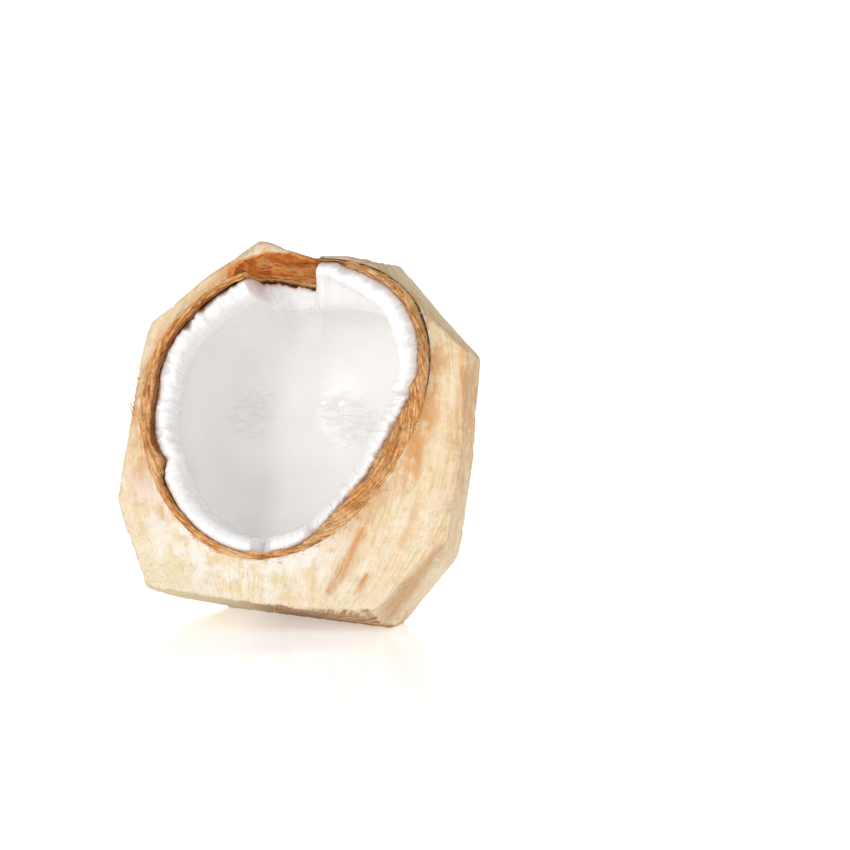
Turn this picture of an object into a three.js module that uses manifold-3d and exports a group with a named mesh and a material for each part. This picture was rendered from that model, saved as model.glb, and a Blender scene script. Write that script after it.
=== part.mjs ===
// A young coconut: its husk is pared to a faceted drum with a sloping crown, and split down one side
// so that the shell and the white flesh show. It leans on a small flat pared off its base edge.
// Three pieces grew round each other: the husk, the shell inside it and the flesh inside the shell.
// Millimetres. The coconut's own frame has the drum's axis along +Z, the base at z = 0 and the open
// side towards -Y. The exported group turns it to the way it rests: +Z up, the resting flat on z = 0.

import * as THREE from "three";
import { mergeVertices } from "three/addons/utils/BufferGeometryUtils.js";
import Module from "manifold-3d";

const wasm = await Module();
wasm.setup();

// Husk, as pared with a knife: a drum, a chamfer down to the base and a crown above the shoulder
const drumRadius = 56;
const drumMiddle = 68;
const drumTaper = [0.3, 5.5]; // degrees in from the upright, below and above its middle
const drumCuts = 18;
const baseRadius = 41;
const chamferHeight = 27;
const chamferCuts = 14;
const shoulderHeight = 89.4;
const shoulderTilt = 2.6; // the shoulder stands higher on the right
const crownSlope = 43.4; // degrees above the level
const crownTilt = 3.4; // steeper on the left, gentler on the right
const crownCuts = 12;

// The split down the front, in two strokes that meet in a faint ridge, and the two across the crown
const splitFront = -15;
const splitRidge = 1;
const strokeTurns = [-3, 3];
const valley = { across: -3, height: 115, left: 12.5, right: 8 };

// Nut: the shell with the flesh in it. Its long axis leans over inside the drum, and its outline
// has three faint lobes.
const nutCentre = new THREE.Vector3(-4.9, -3, 66.4);
const nutLean = 29.4;
const nutAcross = 45.5;
const nutAlong = 54.8;
const lobes = { rise: 0.045, turn: 70.7 };
const flatTop = { depth: 6.5, from: 55, full: 104, fade: 120, to: 152 }; // by the turn round the opening
const sprungPiece = { end: 121, free: 84, rooted: 116 }; // by its turn, then by the opening angle
const shellThickness = 3;
const fleshThickness = 4.6;
const layerGap = 0.35;
const turnSteps = 84; // round the opening
const depthSteps = 18; // from the front of the nut to its back

// The broken rim of the nut: how far each stretch stands forward of the nut's centre, by the turn
// round the opening, from the right over the top. A stretch eases in over its edge at either end.
const nutRim = [
  { from: 38, to: 118, shell: 14, flesh: 16, edge: 3 }, // the piece that sprang out, upper right
  { from: 123, to: 147, shell: -6, flesh: -7, edge: 5 }, // broken away, upper left
  { from: 303, to: 307, shell: 12, flesh: 8, edge: 3 }, // a notch in the flesh at the bottom
  { from: 328, to: 394, shell: 11, flesh: 8, edge: 5 }, // chipped back, lower right
];
const rimForward = 12;

// How it lies: it leans back and to the right, and its open side is turned a little to the left
const leanBack = 11;
const leanRight = 9.4;
const turnLeft = 10;
const baseCentreHeight = 5; // the paring below the base leaves the flat that it rests on
const restSpot = new THREE.Vector3(13, 26, 0); // on that flat, from the middle of the base

const block = 400; // past the coconut every way

const radians = THREE.MathUtils.degToRad;
const degrees = THREE.MathUtils.radToDeg;
const smooth = THREE.MathUtils.smoothstep;

// Random numbers from 0 to 1 that come out the same every time
function seeded(seed) {
  let state = seed;
  return () => {
    state = (Math.imul(state, 1664525) + 1013904223) >>> 0;
    return state / 2 ** 32;
  };
}

// A closed geometry as a solid that can be joined and cut
function solid(geometry) {
  const bare = geometry.clone();
  bare.deleteAttribute("normal");
  bare.deleteAttribute("uv");
  const merged = mergeVertices(bare, 1e-4);
  const mesh = new wasm.Mesh({
    numProp: 3,
    vertProperties: merged.attributes.position.array,
    triVerts: new Uint32Array(merged.index.array),
  });
  return new wasm.Manifold(mesh);
}

// A solid as a geometry again
function geometryOf(body) {
  const { vertProperties, triVerts } = body.getMesh();
  const geometry = new THREE.BufferGeometry();
  geometry.setAttribute("position", new THREE.BufferAttribute(vertProperties, 3));
  geometry.setIndex(new THREE.BufferAttribute(triVerts, 1));
  geometry.computeVertexNormals();
  return geometry;
}

// A direction from its azimuth round the drum, 0 to the right and -90 to the open side, and its elevation
function direction(azimuth, elevation) {
  const level = Math.cos(radians(elevation));
  return new THREE.Vector3(
    level * Math.cos(radians(azimuth)),
    level * Math.sin(radians(azimuth)),
    Math.sin(radians(elevation)),
  );
}

// One stroke of the knife: what lies past the plane through a point comes off
function pare(body, point, normal) {
  const waste = new THREE.BoxGeometry(block, block, block);
  waste.translate(0, 0, block / 2);
  const up = new THREE.Vector3(0, 0, 1);
  waste.applyQuaternion(new THREE.Quaternion().setFromUnitVectors(up, normal));
  waste.translate(point.x, point.y, point.z);
  return body.subtract(solid(waste));
}

// From the coconut's own frame to the way it lies, with the origin at the rest spot
function restingPose() {
  const turn = new THREE.Matrix4().makeRotationZ(radians(-turnLeft));
  const back = new THREE.Matrix4().makeRotationX(radians(-leanBack));
  const right = new THREE.Matrix4().makeRotationY(radians(leanRight));
  const place = new THREE.Matrix4().makeTranslation(-restSpot.x, -restSpot.y, baseCentreHeight);
  return place.multiply(right).multiply(back).multiply(turn);
}

// The nut's own frame has its long axis along z
const nutFrame = new THREE.Matrix4()
  .makeTranslation(nutCentre.x, nutCentre.y, nutCentre.z)
  .multiply(new THREE.Matrix4().makeRotationY(radians(nutLean)));

// How far the nut is flattened at its top, but for the broken piece at the rim that sprang back out
function flattening(turn, opening) {
  const { depth, from, full, fade, to } = flatTop;
  const flat = smooth(turn, from, full) * (1 - smooth(turn, fade, to));
  const sprung = turn < sprungPiece.end ? 1 - smooth(opening, sprungPiece.free, sprungPiece.rooted) : 0;
  return depth * flat * (1 - sprung);
}

// The whole nut as one closed form, its outside moved out by an offset. The opening angle is 0 in
// the middle of the opening and 180 behind it.
function nutForm(offset) {
  const form = new THREE.SphereGeometry(1, turnSteps, depthSteps);
  const points = form.attributes.position;
  for (let i = 0; i < points.count; i += 1) {
    const unit = new THREE.Vector3().fromBufferAttribute(points, i);
    const turn = Math.atan2(unit.z, unit.x);
    const reach = Math.hypot(unit.x, unit.z);
    const lobe = 1 + lobes.rise * reach ** 2 * Math.cos(3 * (turn - radians(lobes.turn)));
    const opening = Math.acos(-unit.y);
    const out = offset - reach ** 2 * flattening(degrees(turn), degrees(opening));
    points.setXYZ(
      i,
      unit.x * (nutAcross * lobe + out),
      unit.y * (nutAcross + offset),
      unit.z * (nutAlong * lobe + out),
    );
  }
  return solid(form.applyMatrix4(nutFrame));
}

// What the split and the breaks took off a layer: all that lies in front of its rim
function rimWaste(layer, chipSize, seed) {
  const random = seeded(seed);
  const rings = [0, 1, 2].map(() => []);
  for (let step = 0; step < turnSteps; step += 1) {
    const turn = ((step + 0.5) * 360) / turnSteps;
    let forward = rimForward;
    for (const stretch of nutRim) {
      for (const t of [turn, turn + 360]) {
        const rise = smooth(t, stretch.from - stretch.edge, stretch.from);
        const fall = smooth(t, stretch.to, stretch.to + stretch.edge);
        forward += (stretch[layer] - rimForward) * rise * (1 - fall);
      }
    }
    forward += (random() - 0.5) * chipSize;
    const out = new THREE.Vector3(Math.cos(radians(turn)), 0, Math.sin(radians(turn)));
    rings[0].push(out.clone().multiplyScalar(15).setY(-forward));
    rings[1].push(out.clone().multiplyScalar(90).setY(-forward));
    rings[2].push(out.clone().multiplyScalar(90).setY(-90));
  }
  const points = rings.flat();
  const behind = points.push(new THREE.Vector3(0, -rimForward, 0)) - 1;
  const ahead = points.push(new THREE.Vector3(0, -90, 0)) - 1;
  const faces = [];
  for (let step = 0; step < turnSteps; step += 1) {
    const next = (step + 1) % turnSteps;
    faces.push([behind, next, step], [ahead, step + 2 * turnSteps, next + 2 * turnSteps]);
    for (const ring of [0, turnSteps]) {
      faces.push([step + ring, next + ring, next + ring + turnSteps]);
      faces.push([step + ring, next + ring + turnSteps, step + ring + turnSteps]);
    }
  }
  const waste = new THREE.BufferGeometry().setFromPoints(points);
  waste.setIndex(faces.flat());
  return solid(waste.applyMatrix4(nutFrame));
}

// One layer of the nut, open to the front
function makeLayer(layer, outer, thickness, chipSize, seed) {
  const whole = nutForm(outer).subtract(nutForm(outer - thickness));
  return crownStrokes(whole.subtract(rimWaste(layer, chipSize, seed)));
}

// Husk: the pared drum, opened by the split and hollow where the nut sits
function makeHusk() {
  const random = seeded(7);
  const stray = (most) => (random() * 2 - 1) * most;
  let husk = solid(new THREE.BoxGeometry(block / 2, block / 2, block));
  husk = pare(husk, new THREE.Vector3(0, 0, 0), direction(0, -90));
  for (const taper of drumTaper) {
    for (let i = 0; i < drumCuts; i += 1) {
      const azimuth = (i * 360) / drumCuts + stray(3);
      const side = direction(azimuth, 0).multiplyScalar(drumRadius + stray(0.4));
      side.z = drumMiddle;
      husk = pare(husk, side, direction(azimuth, taper + stray(0.6)));
    }
  }
  const chamferLean = degrees(Math.atan2(drumRadius - baseRadius, chamferHeight));
  for (let i = 0; i < chamferCuts; i += 1) {
    const azimuth = (i * 360) / chamferCuts + stray(4);
    const edge = direction(azimuth, 0).multiplyScalar(baseRadius);
    husk = pare(husk, edge, direction(azimuth, -chamferLean + stray(1)));
  }
  for (let i = 0; i < crownCuts; i += 1) {
    const azimuth = (i * 360) / crownCuts + stray(4);
    const rightward = Math.cos(radians(azimuth));
    const edge = direction(azimuth, 0).multiplyScalar(drumRadius - 1.9);
    edge.z = shoulderHeight + shoulderTilt * rightward;
    husk = pare(husk, edge, direction(azimuth, 90 - crownSlope + crownTilt * rightward));
  }
  const ridge = new THREE.Vector3(splitRidge, splitFront, 0);
  for (const turn of strokeTurns) {
    husk = pare(husk, ridge, direction(-90 + turn, 0));
  }
  // One more at the upper right bares the shell, and two trim the lower right of the split
  husk = pare(husk, new THREE.Vector3(54, -14, 90), direction(-35, 50));
  husk = pare(husk, new THREE.Vector3(49.5, splitFront, 26), direction(-41, -28));
  husk = pare(husk, new THREE.Vector3(-1, splitFront, 0), direction(-80, -45));
  husk = crownStrokes(husk);
  const down = new THREE.Vector3(0, 0, -1);
  const ownFrame = restingPose().invert();
  husk = pare(
    husk,
    new THREE.Vector3().applyMatrix4(ownFrame),
    down.transformDirection(ownFrame),
  );
  return husk.subtract(nutForm(layerGap)).subtract(tornHollow());
}

// Where the husk tore away with the nut, at the upper left
function tornHollow() {
  const hollow = new THREE.SphereGeometry(1, 36, 18);
  hollow.scale(18, 14, 7);
  hollow.rotateY(radians(-6));
  hollow.translate(-11, splitFront - 2, 108);
  return solid(hollow);
}

// Two strokes across the crown meet in a shallow valley and pare husk and nut alike
function crownStrokes(body) {
  const reach = 90;
  const outline = new THREE.Shape();
  outline.moveTo(0, 0);
  outline.lineTo(reach, reach * Math.tan(radians(valley.right)));
  outline.lineTo(reach, reach);
  outline.lineTo(-reach, reach);
  outline.lineTo(-reach, reach * Math.tan(radians(valley.left)));
  const waste = new THREE.ExtrudeGeometry(outline, { depth: block, bevelEnabled: false });
  waste.rotateX(radians(90));
  waste.translate(valley.across, block / 2, valley.height);
  return body.subtract(solid(waste));
}

function piece(name, geometry, color, roughness, flatShading) {
  const material = new THREE.MeshStandardMaterial({ color, roughness, metalness: 0, flatShading });
  const mesh = new THREE.Mesh(geometry, material);
  mesh.name = name;
  return mesh;
}

const coconut = new THREE.Group();
coconut.add(piece("husk", geometryOf(makeHusk()), "#e6d5ae", 0.85, true));
const shell = makeLayer("shell", 0, shellThickness, 1, 11);
const flesh = makeLayer("flesh", -shellThickness - layerGap, fleshThickness, 1.4, 23);
coconut.add(piece("shell", geometryOf(shell), "#c98a4b", 0.8, true));
coconut.add(piece("flesh", geometryOf(flesh), "#f4f3f1", 0.35, false));
coconut.applyMatrix4(restingPose());

export default coconut;
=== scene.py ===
# A young coconut, pared to a faceted drum and split open, with its shell and white flesh showing.
# Sizes and places are in millimetres in the coconut's own frame, as in the CAD source: the drum's
# axis along +Z, the base at z = 0 and the open side towards -Y. toRow turns that frame to the way
# the coconut rests, and every mesh is stored there in metres.
import math

import bmesh
import bpy
import numpy as np
from mathutils import Matrix, Vector, noise


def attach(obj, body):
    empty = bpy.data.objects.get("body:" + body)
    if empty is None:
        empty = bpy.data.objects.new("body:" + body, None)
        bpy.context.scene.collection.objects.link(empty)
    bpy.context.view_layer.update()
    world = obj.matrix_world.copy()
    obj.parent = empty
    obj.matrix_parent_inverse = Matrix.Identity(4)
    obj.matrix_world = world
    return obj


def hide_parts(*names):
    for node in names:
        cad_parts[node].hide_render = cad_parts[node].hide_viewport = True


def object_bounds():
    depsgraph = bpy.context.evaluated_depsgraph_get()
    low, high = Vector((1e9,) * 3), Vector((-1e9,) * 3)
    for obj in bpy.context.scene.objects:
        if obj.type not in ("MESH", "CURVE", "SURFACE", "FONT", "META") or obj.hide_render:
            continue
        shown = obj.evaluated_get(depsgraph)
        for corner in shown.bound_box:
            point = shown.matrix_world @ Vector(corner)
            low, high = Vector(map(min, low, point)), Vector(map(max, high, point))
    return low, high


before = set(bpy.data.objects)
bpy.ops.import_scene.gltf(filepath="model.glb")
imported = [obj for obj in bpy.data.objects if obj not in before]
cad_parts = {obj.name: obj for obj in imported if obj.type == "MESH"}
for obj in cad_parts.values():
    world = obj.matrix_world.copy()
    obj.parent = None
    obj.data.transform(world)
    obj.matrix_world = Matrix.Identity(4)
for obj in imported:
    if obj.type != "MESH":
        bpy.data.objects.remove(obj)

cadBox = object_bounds()
mm = 0.001

rest = {
    "leanBack": 11,
    "leanRight": 9.4,
    "turnLeft": 10,
    "baseCentreHeight": 5,
    "spot": (13, 26),
}
toRow = (
    Matrix.Translation((-rest["spot"][0], -rest["spot"][1], rest["baseCentreHeight"]))
    @ Matrix.Rotation(math.radians(rest["leanRight"]), 4, "Y")
    @ Matrix.Rotation(math.radians(-rest["leanBack"]), 4, "X")
    @ Matrix.Rotation(math.radians(-rest["turnLeft"]), 4, "Z")
)
rowMatrix = np.array(toRow)
ownMatrix = np.array(toRow.inverted())


def inRow(points):  # own frame, mm -> row frame, metres
    return (np.asarray(points, float) @ rowMatrix[:3, :3].T + rowMatrix[:3, 3]) * mm


def inOwn(points):  # row frame, metres -> own frame, mm
    return (np.asarray(points, float) / mm) @ ownMatrix[:3, :3].T + ownMatrix[:3, 3]


def seeded(seed):  # the same run of random numbers from 0 to 1 as in the CAD source
    state = seed
    while True:
        state = (state * 1664525 + 1013904223) % 2**32
        yield state / 2**32


def smooth(value, low, high):
    step = np.clip((np.asarray(value, float) - low) / (high - low), 0, 1)
    return step * step * (3 - 2 * step)


def noiseAt(points, size, seed=0):  # Perlin noise, about -1 to 1, one number for each point
    scaled = np.asarray(points, float) / np.asarray(size, float) + seed * 17.3
    return np.array([noise.noise(Vector(point)) for point in scaled])


def direction(azimuth, elevation):
    a = math.radians(azimuth)
    e = math.radians(elevation)
    return np.array((math.cos(e) * math.cos(a), math.cos(e) * math.sin(a), math.sin(e)))


def linear(code):  # sRGB hex -> linear RGBA
    parts = [int(code[i:i + 2], 16) / 255 for i in (1, 3, 5)]
    return tuple(c / 12.92 if c <= 0.04045 else ((c + 0.055) / 1.055) ** 2.4 for c in parts) + (1,)


def addNode(tree, kind, settings=None, inputs=None):
    node = tree.nodes.new(kind)
    for name, value in (settings or {}).items():
        setattr(node, name, value)
    for key, value in (inputs or {}).items():
        if isinstance(value, bpy.types.NodeSocket):
            tree.links.new(value, node.inputs[key])
        else:
            node.inputs[key].default_value = value
    return node


def setStops(ramp, stops):  # colour stops of a ramp, as (place, hex colour)
    elements = ramp.color_ramp.elements
    while len(elements) < len(stops):
        elements.new(0.5)
    for element, (place, code) in zip(elements, stops):
        element.position = place
        element.color = linear(code)
    return ramp.outputs["Color"]


def newMaterial(name):
    material = bpy.data.materials.new(name)
    material.use_nodes = True
    material.node_tree.nodes.clear()
    return material


def newObject(name, mesh):
    item = bpy.data.objects.new(name, mesh)
    bpy.context.scene.collection.objects.link(item)
    return item


def newMesh(name, points, faces):
    mesh = bpy.data.meshes.new(name)
    mesh.from_pydata(points.tolist(), [], faces)
    mesh.update()
    return mesh


def settled(item):  # the object with its modifiers applied
    evaluated = item.evaluated_get(bpy.context.evaluated_depsgraph_get())
    mesh = bpy.data.meshes.new_from_object(evaluated)
    item.modifiers.clear()
    old = item.data
    item.data = mesh
    bpy.data.meshes.remove(old)
    return item


def carve(item, cutter):  # cuts a closed object out of another and drops the cutter
    cut = item.modifiers.new("cut", "BOOLEAN")
    cut.operation = "DIFFERENCE"
    cut.solver = "MANIFOLD"
    cut.object = cutter
    bpy.context.view_layer.update()
    settled(item)
    bpy.data.objects.remove(cutter)
    return item


def placesOf(mesh):
    flat = np.empty(len(mesh.vertices) * 3)
    mesh.vertices.foreach_get("co", flat)
    return flat.reshape(-1, 3)


def normalsOf(mesh):
    flat = np.empty(len(mesh.vertices) * 3)
    mesh.vertices.foreach_get("normal", flat)
    return flat.reshape(-1, 3)


def placed(name, work):  # a bmesh in the own frame becomes an object in the row's
    mesh = bpy.data.meshes.new(name)
    work.to_mesh(mesh)
    work.free()
    mesh.vertices.foreach_set("co", inRow(placesOf(mesh)).ravel())
    mesh.update()
    return newObject(name, mesh)


def writeNumbers(mesh, name, values):
    layer = mesh.attributes.new(name, "FLOAT", "POINT")
    layer.data.foreach_set("value", np.asarray(values, np.float32))


def writeVectors(mesh, name, values):
    layer = mesh.attributes.new(name, "FLOAT_VECTOR", "POINT")
    layer.data.foreach_set("vector", np.asarray(values, np.float32).ravel())


def finish(item, material, edgeAngle):
    item.data.materials.clear()
    item.data.materials.append(material)
    item.data.shade_smooth()
    item.data.set_sharp_from_angle(angle=math.radians(edgeAngle))
    return item


# The nut: the closed form that the husk's hollow, the shell and the flesh all follow
nut = {
    "centre": (-4.9, -3, 66.4),
    "lean": 29.4,
    "across": 45.5,
    "along": 54.8,
    "lobeRise": 0.045,
    "lobeTurn": 70.7,
    "flatDepth": 6.5,
    "flatTurns": (55, 104, 120, 152),
    "sprungTurns": (118, 121.5),
    "sprungOpening": (75, 88),
}


def nutToOwn(points):
    turn = np.array(Matrix.Rotation(math.radians(nut["lean"]), 3, "Y"))
    return np.asarray(points) @ turn.T + np.array(nut["centre"])


def ownToNut(points):
    turn = np.array(Matrix.Rotation(math.radians(nut["lean"]), 3, "Y"))
    return (np.asarray(points) - np.array(nut["centre"])) @ turn


def flattening(turn, opening):
    start, full, fade, end = nut["flatTurns"]
    flat = smooth(turn, start, full) * (1 - smooth(turn, fade, end))
    sprung = 1 - smooth(opening, *nut["sprungOpening"])
    sprung = sprung * (1 - smooth(turn, *nut["sprungTurns"]))
    return nut["flatDepth"] * flat * (1 - sprung)


def nutPoints(turn, opening, offset):  # degrees, degrees, mm -> nut frame, mm
    turn, opening = np.broadcast_arrays(np.asarray(turn, float), np.asarray(opening, float))
    reach = np.sin(np.radians(opening))
    around = np.radians(turn)
    lobe = 1 + nut["lobeRise"] * reach**2 * np.cos(3 * (around - math.radians(nut["lobeTurn"])))
    wrapped = (turn + 180) % 360 - 180
    out = offset - reach**2 * flattening(wrapped, opening)
    x = reach * np.cos(around) * (nut["across"] * lobe + out)
    y = -np.cos(np.radians(opening)) * (nut["across"] + offset)
    z = reach * np.sin(around) * (nut["along"] * lobe + out)
    return np.stack((x, y, z), -1)


def wallOver(points):  # how far points of the own frame lie outside the nut, in mm
    place = ownToNut(points)
    unit = place / np.array((nut["across"], nut["across"], nut["along"]))
    unit = unit / np.linalg.norm(unit, axis=1)[:, None]
    turn = np.degrees(np.arctan2(unit[:, 2], unit[:, 0]))
    opening = np.degrees(np.arccos(np.clip(-unit[:, 1], -1, 1)))
    surface = nutPoints(turn, opening, 0)
    return np.linalg.norm(place, axis=1) - np.linalg.norm(surface, axis=1)


def ringFaces(rows, count):  # rings of points, closed by one point before them and one after
    faces = []
    for row in range(rows - 1):
        for i in range(count):
            j = (i + 1) % count
            a = row * count
            faces.append((a + i, a + count + i, a + count + j, a + j))
    last = (rows - 1) * count
    for i in range(count):
        j = (i + 1) % count
        faces.append((rows * count, i, j))
        faces.append((rows * count + 1, last + j, last + i))
    return faces


def closedNut(offset, turns=240, steps=80):
    turn = np.arange(turns) * 360 / turns
    opening = np.linspace(0, 180, steps + 1)[1:-1]
    behind = offset * smooth(opening, 76, 86)
    grid = nutPoints(turn[None, :], opening[:, None], behind[:, None]).reshape(-1, 3)
    points = np.vstack((grid, nutPoints([0, 0], [0, 180], offset)))
    faces = ringFaces(len(opening), turns)
    return newObject("nutCutter", faceOutwards(newMesh("nutCutter", inRow(nutToOwn(points)), faces)))


def faceOutwards(mesh):
    work = bmesh.new()
    work.from_mesh(mesh)
    bmesh.ops.recalc_face_normals(work, faces=work.faces)
    work.to_mesh(mesh)
    work.free()
    return mesh


# The husk's paring, stroke by stroke as in the CAD source
paring = {
    "drumRadius": 56,
    "drumMiddle": 68,
    "drumTaper": (0.3, 5.5),
    "drumCuts": 18,
    "baseRadius": 41,
    "chamferHeight": 27,
    "chamferCuts": 14,
    "shoulderHeight": 89.4,
    "shoulderTilt": 2.6,
    "crownSlope": 43.4,
    "crownTilt": 3.4,
    "crownCuts": 12,
    "splitFront": -15,
    "splitRidge": 1,
    "strokeTurns": (-3, 3),
    "valleyAcross": -3,
    "valleyHeight": 115,
    "valleyLeft": 12.5,
    "valleyRight": 8,
    "block": 200,
}


def knifeStrokes():  # each as a point and the outward normal of the plane
    random = seeded(7)

    def stray(most):
        return (next(random) * 2 - 1) * most

    p = paring
    strokes = [(np.zeros(3), direction(0, -90))]
    for taper in p["drumTaper"]:
        for i in range(p["drumCuts"]):
            azimuth = i * 360 / p["drumCuts"] + stray(3)
            side = direction(azimuth, 0) * (p["drumRadius"] + stray(0.4))
            side[2] = p["drumMiddle"]
            strokes.append((side, direction(azimuth, taper + stray(0.6))))
    chamferLean = math.degrees(math.atan2(p["drumRadius"] - p["baseRadius"], p["chamferHeight"]))
    for i in range(p["chamferCuts"]):
        azimuth = i * 360 / p["chamferCuts"] + stray(4)
        edge = direction(azimuth, 0) * p["baseRadius"]
        strokes.append((edge, direction(azimuth, -chamferLean + stray(1))))
    for i in range(p["crownCuts"]):
        azimuth = i * 360 / p["crownCuts"] + stray(4)
        rightward = math.cos(math.radians(azimuth))
        edge = direction(azimuth, 0) * (p["drumRadius"] - 1.9)
        edge[2] = p["shoulderHeight"] + p["shoulderTilt"] * rightward
        strokes.append((edge, direction(azimuth, 90 - p["crownSlope"] + p["crownTilt"] * rightward)))
    for turn in p["strokeTurns"]:
        strokes.append((np.array((p["splitRidge"], p["splitFront"], 0)), direction(-90 + turn, 0)))
    strokes.append((np.array((54, -14, 90)), direction(-35, 50)))
    strokes.append((np.array((49.5, p["splitFront"], 26)), direction(-41, -28)))
    strokes.append((np.array((-1, p["splitFront"], 0)), direction(-80, -45)))
    down = ownMatrix[:3, :3] @ np.array((0, 0, -1))
    strokes.append((inOwn(np.zeros(3)), down))
    return strokes


def paredBlock():
    work = bmesh.new()
    bmesh.ops.create_cube(work, size=paring["block"])
    bmesh.ops.scale(work, vec=(1, 1, 2), verts=work.verts)
    for point, normal in knifeStrokes():
        parts = work.verts[:] + work.edges[:] + work.faces[:]
        cut = bmesh.ops.bisect_plane(
            work, geom=parts, plane_co=Vector(point), plane_no=Vector(normal), clear_outer=True)
        edges = [part for part in cut["geom_cut"] if isinstance(part, bmesh.types.BMEdge)]
        if edges:
            bmesh.ops.contextual_create(work, geom=edges)
    bmesh.ops.recalc_face_normals(work, faces=work.faces)
    return placed("huskBody", work)


def valleyCutter():  # what the two strokes across the crown took off
    reach = 90
    rise = paring["valleyHeight"]
    left = reach * math.tan(math.radians(paring["valleyLeft"]))
    right = reach * math.tan(math.radians(paring["valleyRight"]))
    outline = [(0, 0), (reach, right), (reach, reach), (-reach, reach), (-reach, left)]
    points = [(x + paring["valleyAcross"], y, z + rise) for y in (-reach, reach) for x, z in outline]
    count = len(outline)
    faces = [tuple(range(count)), tuple(range(2 * count - 1, count - 1, -1))]
    for i in range(count):
        j = (i + 1) % count
        faces.append((i, i + count, j + count, j))
    mesh = faceOutwards(newMesh("valley", inRow(points), faces))
    return newObject("valley", mesh)


hollow = {
    "centre": (-11, -17, 108),
    "size": (18, 14, 7),
    "turn": -6,
    "rough": 1.5,
    "lip": 1.3,
    "seed": 5,
}


def crownHeight(x):  # where the two strokes across the crown left it
    rise = np.where(np.asarray(x) > paring["valleyAcross"], paring["valleyRight"], paring["valleyLeft"])
    return paring["valleyHeight"] + np.abs(x - paring["valleyAcross"]) * np.tan(np.radians(rise))


def hollowCutter():  # where the husk tore away with the nut, at the upper left
    work = bmesh.new()
    bmesh.ops.create_icosphere(work, subdivisions=5, radius=1)
    turn = Matrix.Rotation(math.radians(hollow["turn"]), 3, "Y")
    for vert in work.verts:
        place = vert.co
        ridges = noise.noise(Vector((place.x * 1.5, place.y * 9, place.z * 14 + hollow["seed"])))
        lumps = noise.noise(place * 2.5 + Vector((0, 0, hollow["seed"])))
        scale = [s + hollow["rough"] * (0.7 * ridges + 0.8 * lumps) for s in hollow["size"]]
        vert.co = turn @ Vector((place.x * scale[0], place.y * scale[1], place.z * scale[2]))
        vert.co += Vector(hollow["centre"])
        vert.co.z = min(vert.co.z, crownHeight(vert.co.x) - hollow["lip"])
    return placed("hollow", work)


husk = {
    "evenStep": 0.95,       # mesh spacing of the pared surface
    "nutGap": -1.2,         # the husk grips the shell from a little behind the rim on
    "swell": 0.95,          # the relief is cut into a surface this far out
    "leastWall": 1.3,       # over the nut, where the crown is pared thin
    "fibreWidth": 3.2,
    "fibreLength": 45,
    "fibreDepth": 0.5,
    "fineWidth": 1.5,
    "fineLength": 20,
    "fineDepth": 0.4,
    "edgeRounding": 3,      # smoothing passes
    "cutSize": 14,          # unevenness of a hand-held knife
    "cutDepth": 0.9,
    "chipSize": 3.5,        # torn crumbs of pith
    "chipDepth": 0.5,
    "meridianMiddle": 60,   # the fibres bow out most at this height
    "meridianHeight": 75,
    "meridianAcross": 3,
}

# Stains on the split face: start, end (across, up), half width, strength
orangeStains = [
    ((27.9, 29.0), (20.4, 7.8), 1.7, 0.9),
    ((26.0, 21.0), (22.5, 12.0), 2.6, 0.55),
    ((41.0, 59.5), (42.6, 49.0), 1.4, 0.55),
    ((38.6, 52.0), (39.4, 43.0), 1.2, 0.5),
    ((29.7, 9.2), (31.3, 14.6), 1.3, 0.8),
    ((-50.0, 36.0), (-48.0, 27.0), 2.2, 0.25),
    ((-50.0, 72.0), (-51.0, 60.0), 1.6, 0.35),
    ((-21.5, 11.0), (-20.0, 7.5), 0.8, 0.5),
    ((-10.0, 10.5), (-8.8, 8.0), 0.7, 0.4),
    ((8.5, 14.0), (7.2, 4.0), 1.1, 0.3),
    ((44.0, 40.0), (41.0, 26.0), 1.3, 0.35),
]
brownStains = [
    ((53.5, 28.0), (46.1, 14.7), 1.3, 0.5),
    ((46.6, 15.5), (39.0, 2.5), 2.6, 0.55),
    ((21.6, 10.6), (20.4, 7.2), 1.0, 0.5),
]
blotches = [
    ((53.6, 94.0), (57.0, 72.0), 6.5, 1.0),
    ((53.5, 72.0), (56.5, 50.0), 5.5, 0.8),
    ((54.5, 54.0), (53.0, 26.0), 4.5, 0.55),
    ((-48.0, 42.0), (-39.0, 26.0), 6.5, 0.7),
    ((-51.0, 30.0), (-46.0, 18.0), 4.0, 0.5),
    ((40.5, 60.0), (41.5, 46.0), 2.6, 0.7),
    ((30.0, 34.0), (24.0, 16.0), 5.0, 0.4),
    ((47.0, 96.0), (50.0, 80.0), 4.0, 0.45),
    ((50.0, 24.0), (41.0, 5.0), 3.5, 0.55),
]


# How strongly the shell's juice stained the husk round the ring, by the turn round the opening
ringStain = {0: 0.6, 30: 1.0, 60: 0.9, 110: 0.6, 125: 1.0, 150: 1.0, 170: 0.5, 200: 0.8, 236: 1.0,
             258: 0.4, 285: 0.1, 310: 0.15, 335: 0.4}

# What the husk's material reads at each point, besides the fibres' run
huskMarks = ("orange", "brown", "blotch", "torn", "endGrain", "crown", "under", "skin", "ring",
             "fuzz", "warm")


def alongStains(stains, across, up):
    total = np.zeros(len(across))
    for start, end, width, strength in stains:
        a = np.array(start)
        b = np.array(end)
        run = b - a
        place = np.stack((across, up), -1) - a
        along = np.clip((place @ run) / (run @ run), 0, 1)
        gap = np.linalg.norm(place - along[:, None] * run, axis=1)
        total = np.maximum(total, strength * (1 - smooth(gap, width * 0.35, width * 1.25)))
    return total


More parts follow.
